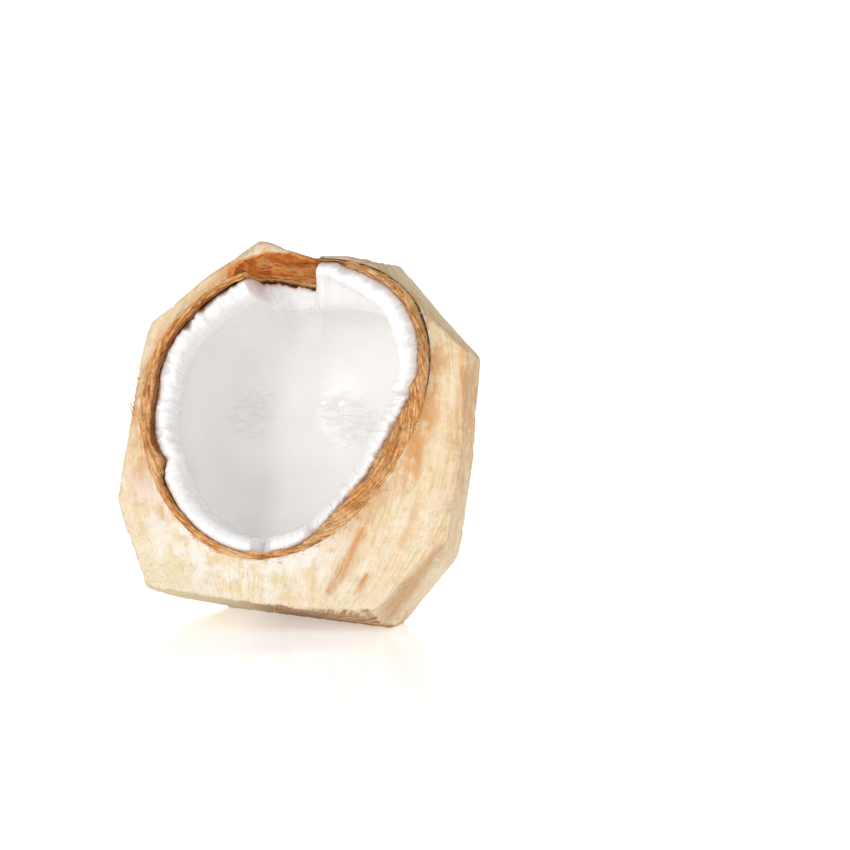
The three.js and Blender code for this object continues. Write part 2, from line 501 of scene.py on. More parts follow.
def fibrePlaces(points, normals):  # across, across, along the fibres, in mm
    height = (points[:, 2] - husk["meridianMiddle"]) / husk["meridianHeight"]
    bow = np.sqrt(np.clip(1 - height**2, 0.12, 1))
    azimuth = np.arctan2(points[:, 1], points[:, 0])
    side = np.stack((56 * np.cos(azimuth), 56 * np.sin(azimuth), points[:, 2]), -1)
    faceX = (points[:, 0] - husk["meridianAcross"]) / bow
    face = np.stack((faceX, points[:, 1] * 0.4 - 10, points[:, 2]), -1)
    onFace = (normals[:, 1] < -0.6) & (points[:, 1] < -8)
    return np.where(onFace[:, None], face, side), onFace


def makeHusk(material):
    body = carve(paredBlock(), valleyCutter())
    even = body.modifiers.new("even", "REMESH")
    even.mode = "VOXEL"
    even.voxel_size = husk["evenStep"] * mm
    ease = body.modifiers.new("ease", "SMOOTH")
    ease.factor = 0.5
    ease.iterations = husk["edgeRounding"]
    settled(body)
    mesh = body.data
    places = placesOf(mesh)
    points = inOwn(places)
    normals = normalsOf(mesh) @ ownMatrix[:3, :3].T
    fibres, _ = fibrePlaces(points, normals)
    wide = (husk["fibreWidth"], husk["fibreWidth"], husk["fibreLength"])
    fine = (husk["fineWidth"], husk["fineWidth"], husk["fineLength"])
    depth = husk["fibreDepth"] * (0.5 + 0.5 * noiseAt(fibres, wide, 1))
    depth += husk["fineDepth"] * (0.5 + 0.5 * noiseAt(fibres, fine, 2))
    depth += husk["cutDepth"] * (0.5 + 0.5 * noiseAt(points, husk["cutSize"], 3))
    depth += husk["chipDepth"] * smooth(noiseAt(points, husk["chipSize"], 4), 0.05, 0.6)
    depth *= smooth(places[:, 2] / mm, 0.4, 2.5)
    level = husk["swell"] * smooth(places[:, 2] / mm, 0.4, 2.5)
    thinnest = np.maximum(wallOver(points) - husk["leastWall"], -husk["swell"])
    points = points - normals * np.minimum(depth - level, thinnest)[:, None]
    places = np.clip(inRow(points), np.array(cadBox[0]), np.array(cadBox[1]))
    places[places[:, 2] < 0.45 * mm, 2] = 0
    mesh.vertices.foreach_set("co", places.ravel())
    mesh.update()
    carve(body, closedNut(husk["nutGap"]))
    carve(body, hollowCutter())
    markHusk(body.data)
    body.name = "paredHusk"
    return finish(body, material, 50)


def markHusk(mesh):  # what the material reads at each point of the husk
    points = inOwn(placesOf(mesh))
    normals = normalsOf(mesh) @ ownMatrix[:3, :3].T
    fibres, onFace = fibrePlaces(points, normals)
    x, y, z = points.T
    near = y < 12
    orange = np.where(near, alongStains(orangeStains, x, z), 0)
    brown = np.where(near & (y < -5), alongStains(brownStains, x, z), 0)
    blotch = np.where(near, alongStains(blotches, x, z), 0)
    turned = Matrix.Rotation(math.radians(-hollow["turn"]), 3, "Y")
    inHollow = (points - np.array(hollow["centre"])) @ np.array(turned).T / np.array(hollow["size"])
    torn = 1 - smooth(np.linalg.norm(inHollow, axis=1), 1.09, 1.17)
    lip = (1 - smooth(wallOver(points), 2, 3.5)) * smooth(z, 96, 100) * smooth(-y, -16, -12)
    lip = lip * smooth(crownHeight(x) - z, 1.2, 2.4)
    torn = np.maximum(torn, lip * (1 - smooth(np.abs(x - hollow["centre"][0]), 14, 18)))
    cutAcross = smooth(np.abs(normals[:, 2]), 0.3, 0.62)
    lowLeft = smooth(-x, 12, 38) * (1 - smooth(z, 14, 44)) * onFace
    endGrain = np.clip(cutAcross + 0.7 * lowLeft, 0, 1) * (1 - torn)
    # Faces that look down at the base, most of all towards the right, are painted darker streaky brown
    under = smooth(-normals[:, 2], 0.5, 0.8) * (1 - smooth(z, 4, 9)) * (0.25 + 0.75 * smooth(x, -14, 4))
    valley = crownHeight(x)
    skin = smooth(z, valley - 2.6, valley - 1.4) * smooth(-y, -20, 2) * (1 - smooth(x, 14, 24))
    nutPlace = ownToNut(points)
    ringReach = np.hypot(nutPlace[:, 0] / nut["across"], nutPlace[:, 2] / nut["along"])
    around = np.degrees(np.arctan2(nutPlace[:, 2], nutPlace[:, 0])) % 360
    lobes = 0.05 * noiseAt(points, 9, 8) + 0.03 * noiseAt(points, 3, 9)
    ring = (1 - smooth(ringReach + lobes, 1.0, 1.13)) * smooth(-y, 4, 12)
    ring = ring * roundTable(ringStain, around)
    fuzz = smooth(around, 232, 256) * (1 - smooth(around, 318, 340)) * smooth(-y, 8, 14)
    fuzz = fuzz * (1 - smooth(ringReach + 2 * lobes, 1.04, 1.32))
    warm = np.clip(smooth(x, 6, 50) * 0.9 + smooth(-x, 36, 46) * smooth(z, 66, 88), 0, 1)
    writeVectors(mesh, "fibre", fibres)
    crown = smooth(normals[:, 2], 0.25, 0.5) * (1 - torn)
    values = (orange, brown, blotch, torn, endGrain, crown, under, skin, ring, fuzz, warm)
    for name, numbers in zip(huskMarks, values):
        writeNumbers(mesh, name, numbers)


# The two layers of the nut. The rim's stretches are the CAD source's: how far each stands forward.
nutRim = [
    {"from": 38, "to": 118, "shell": 14, "flesh": 16, "edge": 3},
    {"from": 123, "to": 147, "shell": -6, "flesh": -7, "edge": 5},
    {"from": 303, "to": 307, "shell": 12, "flesh": 8, "edge": 3},
    {"from": 328, "to": 394, "shell": 11, "flesh": 8, "edge": 5},
]
layers = {
    "rimForward": 12,
    "turns": 720,
    "lipPasses": {"shell": (1, 1), "flesh": (8, 2)},  # at the inner and the outer lip
    "backSteps": 34,
    "rimSteps": 14,
    "rimReach": 34,         # degrees behind the rim in which its thickness fades to that of the back
    "gripReach": 12,        # and on the shell's outside, where the husk grips it
    "shellOuter": {30: -0.4, 45: 0.3, 60: 0.7, 85: 0.5, 100: 0.1, 125: -0.4},
    "shellDepth": {0: 6.8, 15: 7.6, 30: 6.6, 37: 5.0, 43: 2.8, 60: 2.7, 94: 2.4, 106: 1.9, 111: 0.6,
                   117: 0.6, 122: 1.3, 150: 1.6, 165: 2.4, 190: 3.2,
                    207: 4.8, 219: 4.4, 229: 4.0, 238: 5.6, 246: 3.0, 262: 2.3, 302: 2.4, 322: 3.0,
                   332: 5.6, 350: 7.2},
    "fleshWidth": {0: 5.2, 40: 6.6, 60: 7.2, 90: 6.8, 112: 5.6, 125: 5.6, 160: 6.4, 240: 6.6, 300: 6.0,
                   322: 5.6, 340: 5.2},
    "shellSunk": 1.3,       # how deep the shell's outside lies in the husk's hollow
    "shellBack": 3.2,
    "fleshBack": 4.6,
    "thickest": 2.2,        # how much thicker the flesh is a little way in from its rim
    "gap": 0.12,
    "openGap": {0: 0.25, 40: 0.1, 180: 0.3, 198: 0.6, 232: 0.6, 245: 0.0, 330: 0.0, 345: 0.6},
}


def roundTable(table, turn):
    keys = sorted(table)
    return np.interp(turn, keys, [table[key] for key in keys], period=360)


def rimForward(layer, turn):
    forward = np.full(turn.shape, float(layers["rimForward"]))
    for stretch in nutRim:
        for shift in (0, 360):
            rise = smooth(turn + shift, stretch["from"] - stretch["edge"], stretch["from"])
            fall = smooth(turn + shift, stretch["to"], stretch["to"] + stretch["edge"])
            forward += (stretch[layer] - layers["rimForward"]) * rise * (1 - fall)
    return forward


def aroundNoise(turn, size, seed):  # noise along the rim, size in mm, closing on itself
    angle = np.radians(turn)
    ring = np.stack((50 * np.cos(angle), 50 * np.sin(angle), np.full(turn.shape, seed * 9.7)), -1)
    return noiseAt(ring.reshape(-1, 3), size).reshape(turn.shape)


def makeLayer(name, layer, outerRim, innerRim, outerBack, innerBack, gap, ragged, material):
    count = layers["turns"]
    steps = layers["backSteps"]
    across = layers["rimSteps"]
    turn = np.arange(count) * 360 / count
    forward = rimForward(layer, turn)
    forward = forward + ragged(turn, 0.5)
    worn = gap(turn)
    share = np.linspace(0, 1, steps + 1)[1:] ** 0.85
    rows = []
    rimMark = []

    def skinRow(amount, rimOffset, backOffset, forwardHere, side):
        gapHere = worn if side == "outer" else 0
        edge = np.degrees(np.arccos(np.clip(forwardHere / (nut["across"] + rimOffset - gapHere), -1, 1)))
        opening = 180 + (edge - 180) * amount
        reach = layers["gripReach"] if (layer, side) == ("shell", "outer") else layers["rimReach"]
        hold = 1 - smooth(opening - edge, 2, reach)
        offset = backOffset + (rimOffset - backOffset) * hold - gapHere * (1 - smooth(opening - edge, 1, 7))
        points = nutPoints(turn, opening, offset)
        if side == "inner" and layer == "flesh":
            offset = offset - layers["thickest"] * smooth(opening, 74, 88) * (1 - smooth(opening, 96, 130))
            points = nutPoints(turn, opening, offset)
            push = 0.22 * noiseAt(points, 15, 6) + 0.07 * noiseAt(points, 5, 7)
            points = points - push[:, None] * points / np.linalg.norm(points, axis=1)[:, None]
        return points

    def rimAt(s):  # how far forward the rim stands, from its outer edge at 0 to its inner at 1
        rounding = 0.35 * (1 - (2 * s - 1) ** 4)
        if layer == "flesh":
            rounding = rounding - 2.3 * smooth(s, 0.3, 1.2) - 0.3 * (1 - smooth(s, 0, 0.2))
        return forward - 0.35 + rounding + ragged(turn, s) - ragged(turn, 0.5)

    for amount in share:
        rows.append(skinRow(amount, outerRim(turn), outerBack, rimAt(0), "outer"))
        rimMark.append(np.full(count, float(smooth(amount, 0.84, 0.99))))
    outerPole = nutPoints([0], [180], outerBack)
    for i in range(1, across + 1):
        s = i / (across + 1)
        outermost = outerRim(turn) - worn
        offset = outermost + (innerRim(turn) - outermost) * s
        opening = np.degrees(np.arccos(np.clip(rimAt(s) / (nut["across"] + offset), -1, 1)))
        rows.append(nutPoints(turn, opening, offset))
        rimMark.append(np.ones(count))
    for amount in share[::-1]:
        rows.append(skinRow(amount, innerRim(turn), innerBack, rimAt(1), "inner"))
        rimMark.append(np.full(count, float(smooth(amount, 0.84, 0.99))))
    innerPole = nutPoints([0], [180], innerBack)
    grid = np.array(rows)
    edge = steps + across
    lips = ((edge - 3, edge + 8), (steps - 2, steps + 3))
    for (low, high), passes in zip(lips, layers["lipPasses"][layer]):
        for _ in range(passes):
            before = grid[low - 1:high - 1]
            after = grid[low + 1:high + 1]
            grid[low:high] = (before + after) / 4 + grid[low:high] / 2
    grid = grid.reshape(-1, 3)
    points = np.vstack((grid, outerPole, innerPole))
    total = len(rows)
    faces = ringFaces(total, count)
    # Painted shade on the shell's rim: darker where its ragged top dips below the middle, and along its inner
    # edge on the left side
    pale = 1 - 0.7 * (1 - smooth(turn, 30, 40)) * smooth(turn, 8, 20)
    brown = smooth(turn, 150, 170) * (1 - smooth(turn, 228, 244))
    paintedShade = np.zeros(len(points))
    for i in range(1, across + 1):
        row = steps + i - 1
        dip = ragged(turn, 0.5) - ragged(turn, i / (across + 1))
        paintedShade[row * count:(row + 1) * count] = 0.75 * smooth(dip, 0.2, 2.0) * pale
        paintedShade[row * count:(row + 1) * count] += 0.9 * brown * smooth(i / across, 0.55, 0.95)
    mesh = faceOutwards(newMesh(name, inRow(nutToOwn(points)), faces))
    writeNumbers(mesh, "paintedShade", paintedShade)
    turns = np.concatenate((np.tile(turn, total), [0, 0]))
    rim = np.concatenate((np.concatenate(rimMark), [0, 0]))
    away = 1 - smooth(turn, 92, 104) * (1 - smooth(turn, 150, 160))
    outside = np.zeros(len(points))
    outside[:(steps - 2) * count] = np.tile(away, steps - 2)
    writeNumbers(mesh, "outside", outside)
    writeNumbers(mesh, "rim", rim)
    radius = np.hypot(points[:, 0], points[:, 2])
    angle = np.radians(turns)
    writeVectors(mesh, "fibre", np.stack((48 * np.cos(angle), 48 * np.sin(angle), radius), -1))
    item = carve(newObject(name, mesh), valleyCutter())
    return finish(item, material, 60)


# Unevenness round the rims: depth and size in mm, seed, and how far the seed moves across the rim
ridges = {
    "shellRim": [(1.5, 19, 1, 0.75), (0.9, 7, 2, 1.5), (0.5, 2.2, 3, 1.8), (0.45, 0.9, 4, 2.6)],
    "shellInside": [(0.45, 6, 8, 0), (0.3, 1.8, 8.4, 0)],
    "fleshRim": [(0.5, 9, 6, 0.1), (0.4, 2.4, 7, 0.12), (0.2, 1.2, 8, 0.3)],
    "fleshInside": [(0.6, 8, 10, 0), (0.4, 3.2, 10.5, 0)],
}


def ridged(name, turn, s=0):
    return sum(depth * aroundNoise(turn, size, seed + step * s) for depth, size, seed, step in ridges[name])


def shellRagged(turn, s):  # strands that lie round the ring, with splits between them
    band = smooth(turn, 322, 332) + (1 - smooth(turn, 34, 42))
    left = smooth(turn, 150, 170) * (1 - smooth(turn, 250, 275))
    broken = smooth(turn, 118, 122) * (1 - smooth(turn, 148, 156))
    level = 0.75 + 0.7 * band + 0.35 * left + 0.3 * broken
    lean = 2.0 * (s - 0.5) * (0.5 + left)
    return level * ridged("shellRim", turn, s) - band * (0.2 + 1.1 * (s - 0.5)) - lean


def fleshRagged(turn, s):  # broken by hand: scalloped bites with grooves that run across the rim
    scallop = smooth(turn, 146, 158) * (1 - smooth(turn, 206, 222))
    band = smooth(turn, 322, 332) + (1 - smooth(turn, 34, 42))
    side = smooth(turn, 150, 165) * (1 - smooth(turn, 292, 300))
    chips = np.abs(aroundNoise(turn, 7.5, 5 + 0.05 * s))
    bites = np.abs(aroundNoise(turn, 3.4, 11 + 0.06 * s))
    notch = 2.6 * np.exp(-((turn - 305) / 1.6) ** 2)
    bitten = scallop * 2.8 * chips + (0.5 + 1.0 * side) * bites
    return ridged("fleshRim", turn, s) * (1 + 0.6 * band) - bitten - notch - 0.5 * (s - 0.5)


def makeShell(material):
    def outer(turn):
        return -roundTable(layers["shellOuter"], turn) + 0.5 * aroundNoise(turn, 8, 12) - 0.15

    def inner(turn):
        return -roundTable(layers["shellDepth"], turn) + ridged("shellInside", turn)

    return makeLayer("nutShell", "shell", outer, inner, -layers["shellSunk"], -layers["shellBack"],
                     np.zeros_like, shellRagged, material)


# Where the last of the juice lies in ripples: centre, radius, strength
wetSpots = [
    ((13, 30, 67), 13, 1.0),
    ((6, 33, 71), 10, 0.8),
    ((-24, 30, 66), 15, 0.6),
]


def makeFlesh(material):
    def outer(turn):
        return -roundTable(layers["shellDepth"], turn) - layers["gap"]

    def gap(turn):
        left = smooth(turn, 158, 175) * (1 - smooth(turn, 222, 236))
        bites = (1.5 + 1.4 * left) * np.abs(aroundNoise(turn, 3.4, 9))
        bites = bites + 1.1 * np.abs(aroundNoise(turn, 8, 9.5)) + 0.35 * aroundNoise(turn, 1.4, 9.8)
        bites = bites * (1 - 0.8 * smooth(turn, 234, 248) * (1 - smooth(turn, 318, 330)))
        return roundTable(layers["openGap"], turn) + bites

    def inner(turn):
        width = roundTable(layers["fleshWidth"], turn) + ridged("fleshInside", turn)
        return -roundTable(layers["shellDepth"], turn) - width

    back = layers["shellBack"] + layers["gap"]
    item = makeLayer(
        "nutFlesh", "flesh", outer, inner, -back, -back - layers["fleshBack"], gap, fleshRagged, material)
    points = inOwn(placesOf(item.data))
    wet = np.zeros(len(points))
    for centre, radius, strength in wetSpots:
        apart = np.linalg.norm(points - np.array(centre), axis=1)
        wet = np.maximum(wet, strength * (1 - smooth(apart, 0.3 * radius, radius)))
    writeNumbers(item.data, "wet", wet)
    return item


# Loose fibres: each is a line of points that a node tree gives its thickness
fibres = {
    "radius": 0.09,
    "sides": 3,
    "tip": 0.35,
    "points": 7,
    "seed": 31,
    "ringCount": 170,
    "bandCount": 260,
    "hollowCount": 36,
    "leftCount": 40,
    "crestCount": 16,
    "sprungCount": 110,
}


def fibreTree(material):
    tree = bpy.data.node_groups.new("looseFibreTubes", "GeometryNodeTree")
    face = tree.interface
    face.new_socket("Geometry", in_out="INPUT", socket_type="NodeSocketGeometry")
    radius = face.new_socket("Fibre radius", in_out="INPUT", socket_type="NodeSocketFloat")
    tip = face.new_socket("Tip share", in_out="INPUT", socket_type="NodeSocketFloat")
    sides = face.new_socket("Sides", in_out="INPUT", socket_type="NodeSocketInt")
    face.new_socket("Geometry", in_out="OUTPUT", socket_type="NodeSocketGeometry")
    start = addNode(tree, "NodeGroupInput").outputs
    lines = addNode(tree, "GeometryNodeMeshToCurve", None, {"Mesh": start["Geometry"]})
    along = addNode(tree, "GeometryNodeSplineParameter").outputs["Factor"]
    taper = addNode(tree, "ShaderNodeMapRange", None, {
        "Value": along, "To Min": 1.0, "To Max": start["Tip share"]})
    thick = addNode(tree, "GeometryNodeInputNamedAttribute", {"data_type": "FLOAT"}, {"Name": "thick"})
    size = addNode(tree, "ShaderNodeMath", {"operation": "MULTIPLY"}, {
        0: taper.outputs["Result"], 1: thick.outputs[0]})
    sized = addNode(tree, "GeometryNodeSetCurveRadius", None, {
        "Curve": lines.outputs["Curve"], "Radius": size.outputs[0]})
    ring = addNode(tree, "GeometryNodeCurvePrimitiveCircle", None, {
        "Resolution": start["Sides"], "Radius": start["Fibre radius"]})
    tubes = addNode(tree, "GeometryNodeCurveToMesh", None, {
        "Curve": sized.outputs["Curve"], "Profile Curve": ring.outputs["Curve"], "Fill Caps": True})
    real = addNode(tree, "GeometryNodeRealizeInstances", None, {"Geometry": tubes.outputs["Mesh"]})
    dressed = addNode(tree, "GeometryNodeSetMaterial", None, {
        "Geometry": real.outputs["Geometry"], "Material": material})
    addNode(tree, "NodeGroupOutput", None, {"Geometry": dressed.outputs["Geometry"]})
    return tree, {radius.identifier: fibres["radius"] * mm, tip.identifier: fibres["tip"],
                  sides.identifier: fibres["sides"]}


def fibreLines():  # the lines in the own frame, and the thickness of each
    random = seeded(fibres["seed"])

    def between(low, high):
        return low + (high - low) * next(random)

    lines = []

    def strand(root, way, length, curl, thick):
        way = np.array(way, float) / np.linalg.norm(way)
        bend = np.array((between(-1, 1), between(-1, 1), between(-1, 1))) * curl
        steps = fibres["points"]
        place = np.array(root, float)
        line = [place]
        for _ in range(steps - 1):
            way = way + bend / steps
            way = way / np.linalg.norm(way)
            place = place + way * length / (steps - 1)
            line.append(place)
        lines.append((np.array(line), thick))

    def rimPoint(turn, opening, offset):
        return nutToOwn(nutPoints([turn], [opening], offset))[0]

    # Round the ring, from the husk's cut edge, lying along it
    for _ in range(fibres["ringCount"]):
        turn = between(0, 360)
        if 120 < turn < 152:
            continue
        ring = rimPoint(turn, 74.5, between(-0.6, 1.6))
        ahead = rimPoint(turn + 4 * (1 if next(random) > 0.5 else -1), 74.5, 0.4)
        ring[1] = paring["splitFront"] + between(-0.1, 0.8)
        way = ahead - ring
        way[1] = between(-1.6, 0.1)
        strand(ring, way, between(1.2, 3.2), 1.2, between(0.4, 0.9))
    # The torn band at the lower right, from the broken shell
    for _ in range(fibres["bandCount"]):
        turn = between(-34, 42)
        depth = between(-6.2, 0.2)
        ring = rimPoint(turn, between(75.5, 78), depth)
        ahead = rimPoint(turn + (5 if next(random) > 0.35 else -5), 76, depth)
        way = ahead - ring
        way[1] = between(-2.2, -0.2)
        strand(ring, way, between(2, 6.5), 1.5, between(0.6, 1.5))
    # Across the hollow, bowed along its wall
    for _ in range(fibres["hollowCount"]):
        x = between(-24, -4)
        root = np.array((x, between(-12.5, -7), 108.5 - 0.13 * (x + 11) + between(-2.0, 3.0)))
        strand(root, (1, between(-0.1, 0.2), between(-0.2, 0.15)), between(3, 7), 0.5, between(0.5, 1.1))
    # Hair on the left outline and at the crest, where a dull blade tore the fibres
    for _ in range(fibres["leftCount"]):
        z = between(50, 74)
        root = (-53.9 + between(-0.4, 0.2), between(-14, -9), z)
        strand(root, (-0.7, -0.2, between(-0.2, 1)), between(1.5, 4.5), 1.6, 0.45)
    for _ in range(fibres["crestCount"]):
        x = between(11, 19)
        strand((x, between(-10, -4), 115.8 + between(-1.5, 0)),
               (between(-0.2, 1), between(-0.3, 0.3), 0.6), between(2, 6), 1.6, between(0.8, 1.5))
    # Frayed ends along the sprung piece of shell
    for _ in range(fibres["sprungCount"]):
        turn = between(46, 108)
        root = rimPoint(turn, between(70.5, 73), between(-2.2, 0.2))
        ahead = rimPoint(turn - 4, 71, between(-1, 1.6))
        way = ahead - root
        way[1] = between(-1.2, 0.4)
        strand(root, way, between(2, 6), 1.3, between(0.6, 1.5))
    return lines


def makeFibres(material):
    lines = fibreLines()
    size = fibres["points"]
    points = np.vstack([line for line, _ in lines])
    edges = [(i * size + k, i * size + k + 1) for i in range(len(lines)) for k in range(size - 1)]
    mesh = bpy.data.meshes.new("looseFibres")
    mesh.from_pydata(inRow(points).tolist(), edges, [])
    writeNumbers(mesh, "thick", np.repeat([thick for _, thick in lines], size))
    item = newObject("looseFibres", mesh)
    tree, values = fibreTree(material)
    tubes = item.modifiers.new("tubes", "NODES")
    tubes.node_group = tree
    for name, value in values.items():
        tubes[name] = value
    settled(item)
    keepInside(item.data)
    return item


def keepInside(mesh):  # nothing stands outside the CAD box
    low = np.array(cadBox[0])
    high = np.array(cadBox[1])
    mesh.vertices.foreach_set("co", np.clip(placesOf(mesh), low, high).ravel())
    mesh.update()


def patternFields(tree, alongFibres, even):  # noise by name, for a material's node tree
    fibre = addNode(tree, "ShaderNodeAttribute", {"attribute_name": "fibre"}).outputs["Vector"]
    own = addNode(tree, "ShaderNodeTexCoord").outputs["Object"]
    fields = {}
    for name, (width, length, detail, rough) in alongFibres.items():
        stretched = addNode(tree, "ShaderNodeMapping", None, {
            "Vector": fibre, "Scale": (1 / width, 1 / width, 1 / length)})
        fields[name] = addNode(tree, "ShaderNodeTexNoise", None, {
            "Vector": stretched.outputs["Vector"], "Scale": 1.0, "Detail": detail,
            "Roughness": rough}).outputs["Fac"]
    for name, (size, detail, rough) in even.items():
        fields[name] = addNode(tree, "ShaderNodeTexNoise", None, {
            "Vector": own, "Scale": 1 / (size * mm), "Detail": detail, "Roughness": rough}).outputs["Fac"]
    return fields


# Patterns of the husk that follow its fibres: width and length in mm, detail, roughness
fibrePatterns = {
    "fine": (1.0, 15, 5, 0.65),
    "broad": (7, 40, 3, 0.55),
    "rare": (2.0, 22, 4, 0.6),
    "hatched": (0.9, 4.5, 4, 0.75),
    "hairy": (0.8, 6, 5, 0.7),
    "worn": (1.3, 16, 3, 0.6),
}
# Patterns that are alike in every direction: size in mm, detail, roughness
grainPatterns = {
    "pits": (1.9, 4, 0.65),
    "patchy": (6, 5, 0.6),
    "ends": (0.9, 4, 0.7),
}
# Patches picked out of a pattern: its name, and the levels where they start and are full
patches = {
    "palePatch": ("patchy", 0.5, 0.66),
    "yellowPatch": ("patchy", 0.48, 0.34),
    "paleHatch": ("hatched", 0.57, 0.68),
    "darkHatch": ("hatched", 0.42, 0.33),
    "broadBand": ("broad", 0.36, 0.66),
    "darkFibre": ("rare", 0.6, 0.75),
    "frayed": ("fine", 0.4, 0.58),
    "ragged": ("rare", 0.36, 0.6),
    "rusty": ("patchy", 0.36, 0.6),
    "soaked": ("patchy", 0.36, 0.62),
    "fuzzy": ("patchy", 0.4, 0.56),
}
pithStops = [(0.3, "#c9b086"), (0.42, "#e2cfaa"), (0.54, "#eee0c4"), (0.72, "#f7efdf")]
# Colours laid over the pith in turn: factors that are multiplied, strength, and a colour or the
# stops for a pattern. A factor sums marks and patches, each by its weight, from its floor up.
huskColours = [
    ([], 0.35, ("pits", [(0.34, "#c7ad82"), (0.45, "#e6d5b4"), (0.62, "#f4ead4")])),
    ([{"palePatch": 1}], 0.5, "#f5efe3"),
    ([{"yellowPatch": 1}], 0.4, "#dfcf9f"),
    ([{"paleHatch": 1}], 0.7, "#f7f2ea"),
    ([{"darkHatch": 1}], 0.7, "#c9ab74"),
    ([{"broadBand": 1}, {"floor": 0.6, "warm": 1}], 0.42, "#edc691"),
    ([{"darkFibre": 1}], 0.5, "#d39a5c"),
    ([{"endGrain": 1}], 0.7, ("ends", [(0.32, "#c9ae84"), (0.45, "#e4d2ae"), (0.6, "#f1e6cf")])),
    ([{"crown": 1}], 0.75, ("hairy", [(0.34, "#b99f74"), (0.46, "#dac69e"), (0.62, "#eddfc0")])),
    ([{"orange": 1}, {"floor": 0.35, "frayed": 1}, {"floor": 0.25, "ragged": 1}], 1, "#cf8238"),
    ([{"blotch": 1}, {"rusty": 1, "ragged": 0.3}], 0.62, ("fine", [(0.36, "#c27f3d"), (0.6, "#dfa868")])),
    ([{"brown": 1}, {"floor": 0.4, "frayed": 0.6}], 1, "#b27840"),
    ([{"ring": 1}, {"soaked": 1, "ragged": 0.25}], 0.85, "#d49550"),
    ([{"fuzz": 1}, {"fuzzy": 1}], 0.7, "#f6f2ec"),
    # darker streaky brown on the faces that look down at the base
    ([{"under": 1}], 0.85, ("worn", [(0.38, "#5f3412"), (0.48, "#a27240"), (0.6, "#c9a673")])),
    ([{"skin": 1}], 0.6, "#d8c9b4"),
    ([{"torn": 1}], 1, ("patchy", [
        (0.34, "#7d3003"), (0.45, "#b8560f"), (0.55, "#d07824"), (0.68, "#e5ae66")])),
    ([{"torn": 1}], 0.35, ("fine", [(0.35, "#86380a"), (0.5, "#c67021"), (0.68, "#eabd84")])),
]


def paredHuskMaterial():
    # Moist coconut husk, freshly pared: matt cream pith with long darker fibres and rust stains
    material = newMaterial("freshly pared coconut husk")
    tree = material.node_tree
    fields = patternFields(tree, fibrePatterns, grainPatterns)
    for name in huskMarks:
        fields[name] = addNode(tree, "ShaderNodeAttribute", {"attribute_name": name}).outputs["Fac"]
    for name, (pattern, low, high) in patches.items():
        fields[name] = addNode(tree, "ShaderNodeMapRange", {"interpolation_type": "SMOOTHSTEP"}, {
            "Value": fields[pattern], "From Min": low, "From Max": high}).outputs["Result"]
    colour = setStops(addNode(tree, "ShaderNodeValToRGB", None, {"Fac": fields["fine"]}), pithStops)
    for factors, strength, paint in huskColours:
        share = strength
        for factor in factors:
            total = factor.get("floor", 0)
            for name in [name for name in factor if name != "floor"]:
                total = addNode(tree, "ShaderNodeMath", {"operation": "MULTIPLY_ADD", "use_clamp": True}, {
                    0: fields[name], 1: factor[name], 2: total}).outputs[0]
            share = addNode(tree, "ShaderNodeMath", {"operation": "MULTIPLY", "use_clamp": True}, {
                0: total, 1: share}).outputs[0]
        if isinstance(paint, tuple):
            pattern, stops = paint
            paint = setStops(addNode(tree, "ShaderNodeValToRGB", None, {"Fac": fields[pattern]}), stops)
        else:
            paint = linear(paint)
        colour = addNode(tree, "ShaderNodeMix", {"data_type": "RGBA"}, {
            0: share, 6: colour, 7: paint}).outputs[2]
    pitted = addNode(tree, "ShaderNodeMath", {"operation": "MULTIPLY"}, {
        0: fields["pits"], 1: 0.7}).outputs[0]
    height = addNode(tree, "ShaderNodeMath", {"operation": "MULTIPLY_ADD"}, {
        0: fields["hatched"], 1: 0.7, 2: pitted}).outputs[0]
    bump = addNode(tree, "ShaderNodeBump", None, {
        "Height": height, "Strength": 0.8, "Distance": 0.8 * mm})
    shader = addNode(tree, "ShaderNodeBsdfPrincipled", None, {
        "Base Color": colour, "Roughness": 0.78, "Specular IOR Level": 0.25,
        "Normal": bump.outputs["Normal"]})
    addNode(tree, "ShaderNodeOutputMaterial", None, {"Surface": shader.outputs["BSDF"]})
    return material


